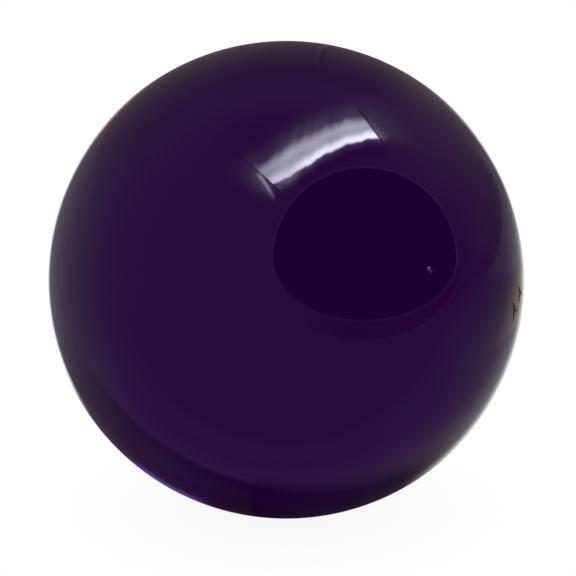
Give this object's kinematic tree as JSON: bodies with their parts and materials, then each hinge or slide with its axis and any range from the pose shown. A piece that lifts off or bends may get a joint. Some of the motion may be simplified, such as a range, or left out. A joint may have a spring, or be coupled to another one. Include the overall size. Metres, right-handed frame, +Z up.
{
  "type": "bowling ball",
  "caption": "Undrilled ten-pin bowling ball with a mirror-gloss deep purple shell over a filled core and weight block, with a locator pin and small engraved marks.",
  "frame": {"origin": "centre of the ball", "axes": "+X along the locator pin, out of the ball, which is also the weight block's axis of revolution; +Z up as the ball rests; -Y towards the front, where the centre-of-gravity mark is"},
  "size_m": [0.2176, 0.2176, 0.2176],
  "materials": {
    "coverstock": "deep purple polyester, polished to a mirror gloss",
    "core_filler": "grey filled resin, as cast",
    "weight_block": "red-brown heavy filled resin, as cast",
    "locator_pin": "pearl ivory resin, outer end polished with the ball",
    "cg_paint": "pale pink pearl lacquer",
    "mark_paint": "dark bronze lacquer in the engraving"
  },
  "bodies": {
    "root": {"coverstock": "coverstock", "outer_core": "core_filler", "weight_block": "weight_block", "locator_pin": "locator_pin", "cg_mark_paint": "cg_paint", "dart_paint": "mark_paint", "tick_paint": "mark_paint"}
  },
  "joints": []
}
